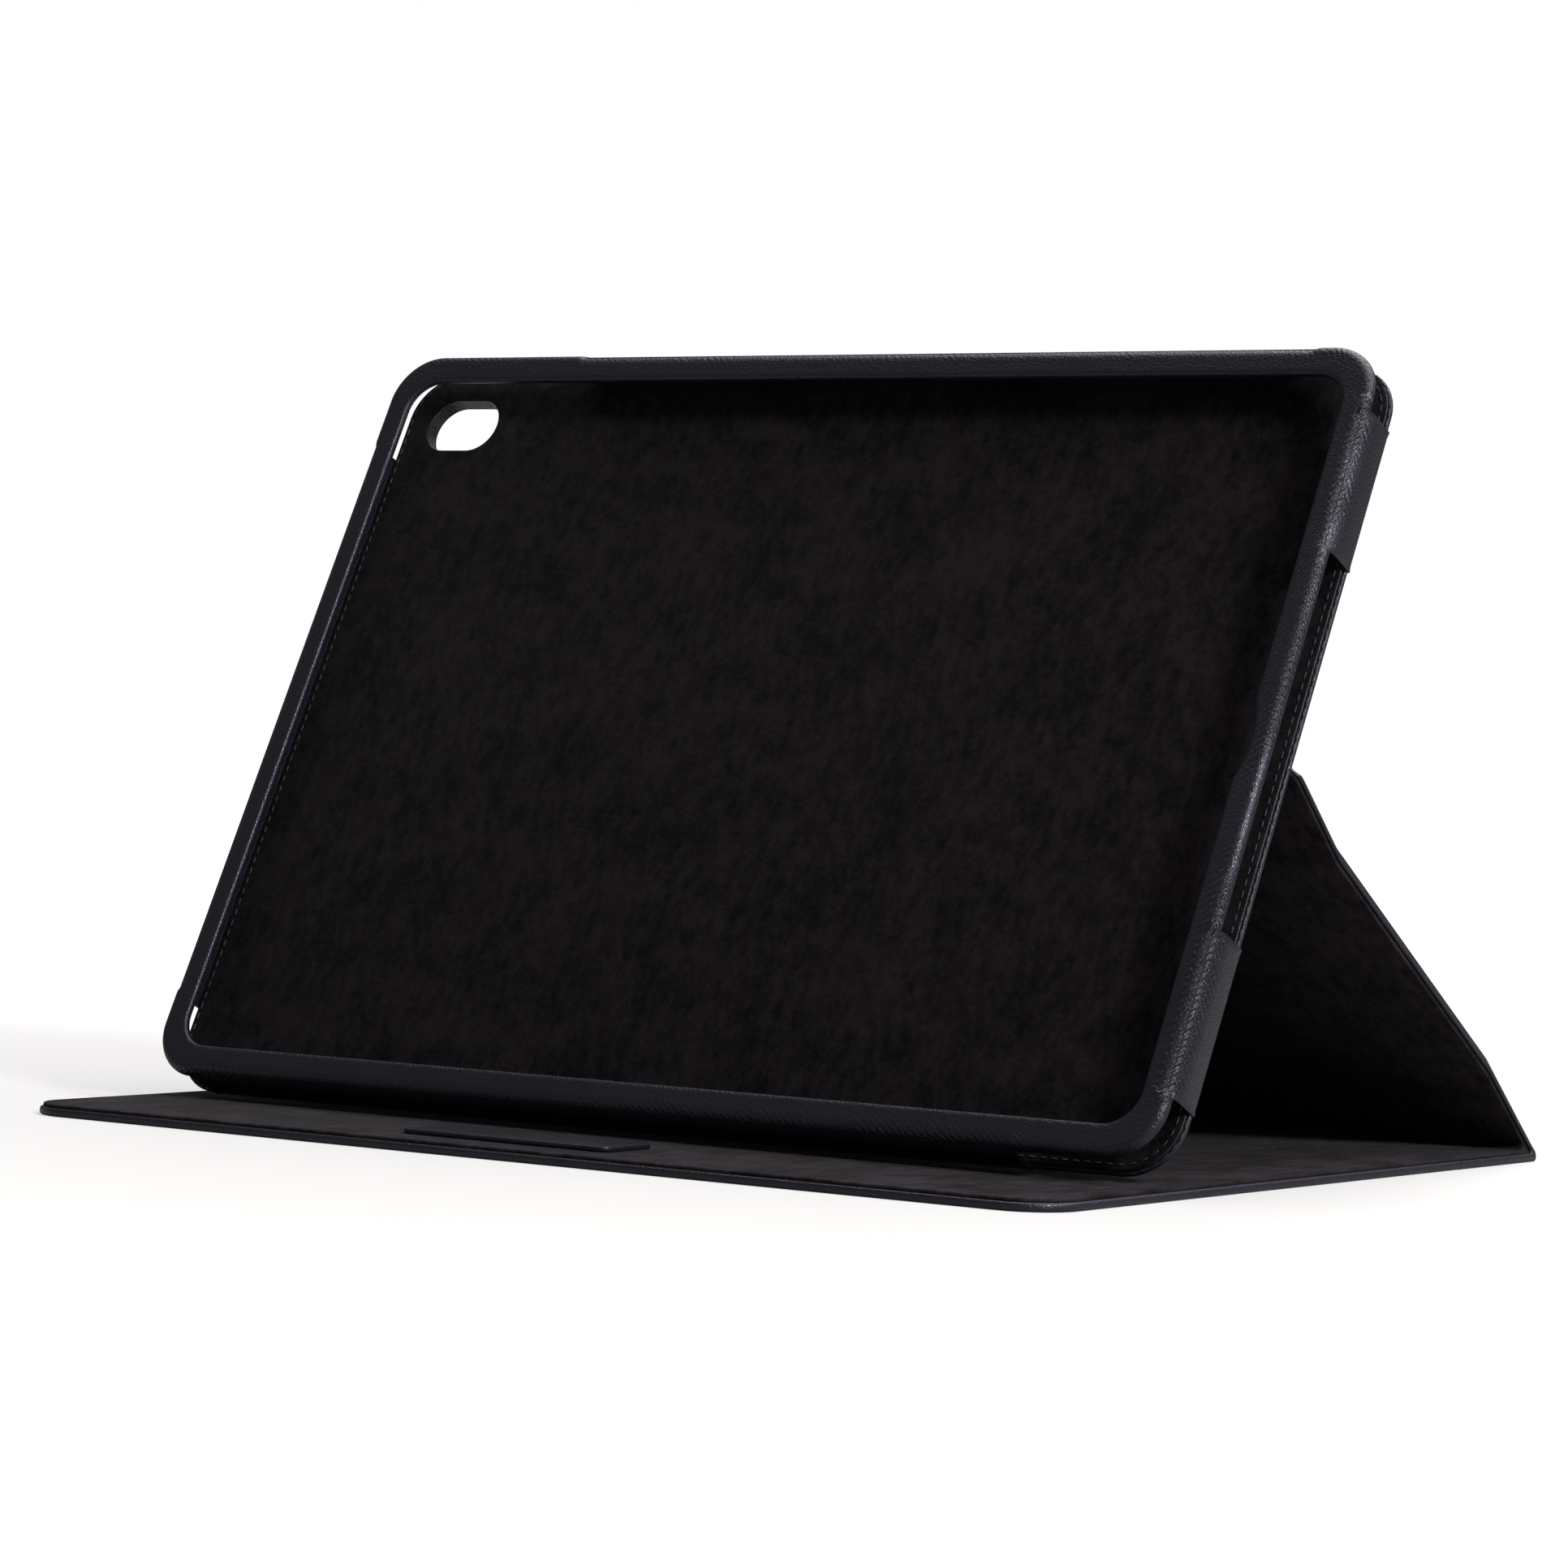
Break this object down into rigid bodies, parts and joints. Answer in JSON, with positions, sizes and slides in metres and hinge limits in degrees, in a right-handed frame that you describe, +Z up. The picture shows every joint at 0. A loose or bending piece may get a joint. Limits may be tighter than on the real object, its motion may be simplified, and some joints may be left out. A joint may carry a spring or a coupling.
{
  "type": "tablet case",
  "caption": "Leather folio case for a tablet, standing as an easel: tray with bezel and cut-outs, folding stand panel, soft spine and lined front cover.",
  "frame": {"origin": "on the surface the case stands on, at the middle of its bounding box", "axes": "+Z up, +X along the case's long edge to the right as the screen is read, +Y from the viewer towards the spine"},
  "size_m": [0.243, 0.186, 0.1599],
  "materials": {
    "leather": "black fine-grained leather, soft sheen",
    "lining": "dark brown-black suede microfibre",
    "board": "dark fibre board",
    "thread": "waxed black thread",
    "magnet": "nickel-plated"
  },
  "bodies": {
    "front_cover": {"front_cover_leather": "leather", "front_cover_board": "board", "cover_magnets": "magnet", "front_cover_lining": "lining", "stop_strip": "leather", "cover_fold_leather": "leather"},
    "spine": {"spine_leather": "leather", "spine_card": "board", "spine_lining": "lining", "spine_fold_leather": "leather"},
    "stand_panel": {"stand_panel_leather": "leather", "stand_panel_board": "board", "stand_panel_lining": "lining", "flap_fold_leather": "leather"},
    "hinge_flap": {"hinge_flap_leather": "leather", "hinge_flap_lining": "lining", "back_fold_leather": "leather"},
    "tray": {"bezel_leather": "leather", "bezel_stiffener": "board", "top_wall": "leather", "bottom_wall": "leather", "left_wall": "leather", "right_upper_wall": "leather", "right_lower_wall": "leather", "tray_lining": "lining", "tray_inner_board": "board", "tray_outer_board": "board", "tray_back_leather": "leather", "rear_panel_leather": "leather", "rear_panel_board": "board", "back_seam_thread": "thread", "inner_seam_thread": "thread", "outer_seam_thread": "thread"}
  },
  "joints": [
    {"name": "cover_fold", "type": "hinge", "parent": "front_cover", "child": "spine", "pos_m": [0, 0.0918, 0.0013], "axis": [-1, 0, 0], "range_deg": [0, 139.15]},
    {"name": "spine_fold", "type": "hinge", "parent": "spine", "child": "stand_panel", "pos_m": [0, 0.06919, 0.02085], "axis": [-1, 0, 0], "range_deg": [0, 7.56]},
    {"name": "flap_fold", "type": "hinge", "parent": "stand_panel", "child": "hinge_flap", "pos_m": [0, 0.00634, 0.06214], "axis": [-1, 0, 0], "range_deg": [-10.21, 0]},
    {"name": "back_fold", "type": "hinge", "parent": "hinge_flap", "child": "tray", "pos_m": [0, -0.00962, 0.07728], "axis": [-1, 0, 0], "range_deg": [-73.01, 0]}
  ],
  "couplings": [
    {"joint": "spine_fold", "follows": "cover_fold", "ratio": 0.054266},
    {"joint": "flap_fold", "follows": "cover_fold", "ratio": -0.073303},
    {"joint": "back_fold", "follows": "cover_fold", "ratio": -0.52462}
  ]
}
